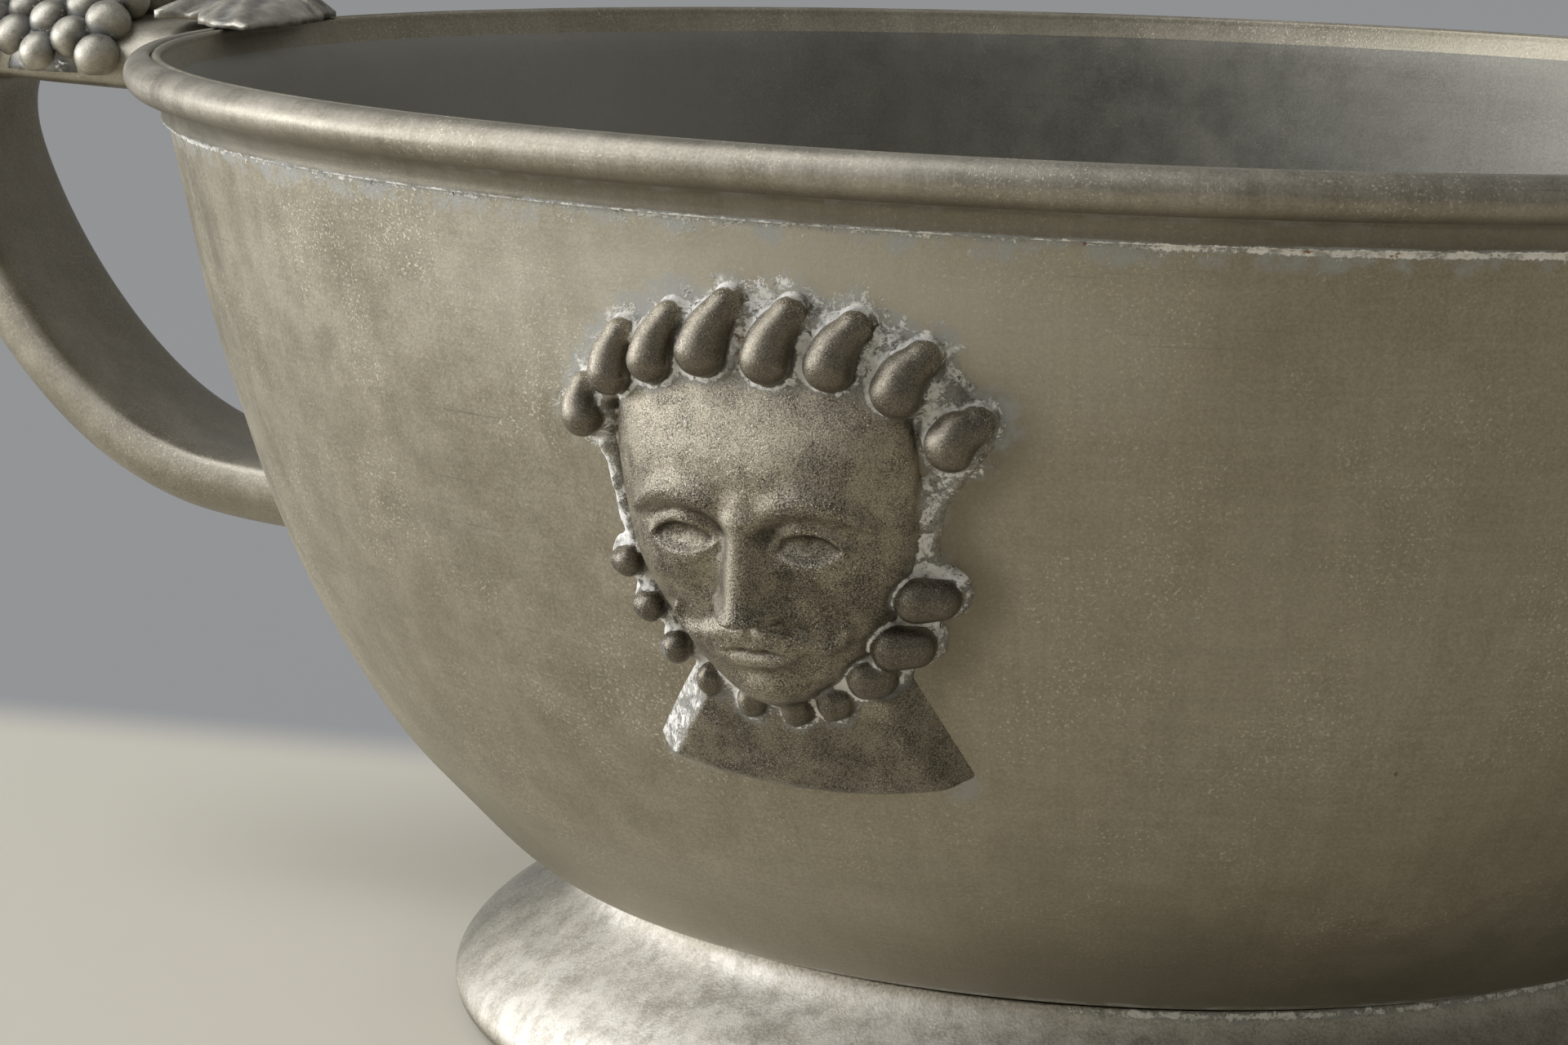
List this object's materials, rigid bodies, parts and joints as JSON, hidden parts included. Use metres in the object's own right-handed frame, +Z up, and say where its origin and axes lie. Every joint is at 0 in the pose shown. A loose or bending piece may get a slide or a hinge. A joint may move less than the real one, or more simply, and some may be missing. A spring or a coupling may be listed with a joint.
{
  "type": "footed bowl",
  "caption": "Round footed pewter bowl with a beaded rim, loop handles topped by grapes and a vine leaf, and a relief mask on front and back.",
  "frame": {"origin": "centre of the foot's underside, on the surface that the bowl stands on", "axes": "+Z up, +X towards the right handle as seen from the front, -Y towards the front mask"},
  "size_m": [0.372, 0.26, 0.1284],
  "materials": {
    "body_pewter": "satin grey-brown patina with fine pale specks",
    "handle_pewter": "satin patina, brighter on worn edges",
    "cast_pewter": "cast relief, pale rubbed tops over dark hollows",
    "mask_pewter": "dark brown patina with whitish residue in the hollows"
  },
  "bodies": {
    "root": {"bowl_shell": "body_pewter", "rim_moulding": "body_pewter", "foot_ring": "body_pewter", "handle_strap_right": "handle_pewter", "handle_strap_left": "handle_pewter", "grape_bunch_right": "cast_pewter", "grape_bunch_left": "cast_pewter", "vine_leaf_right": "cast_pewter", "vine_leaf_left": "cast_pewter", "mask_front": "mask_pewter", "mask_back": "mask_pewter"}
  },
  "joints": []
}
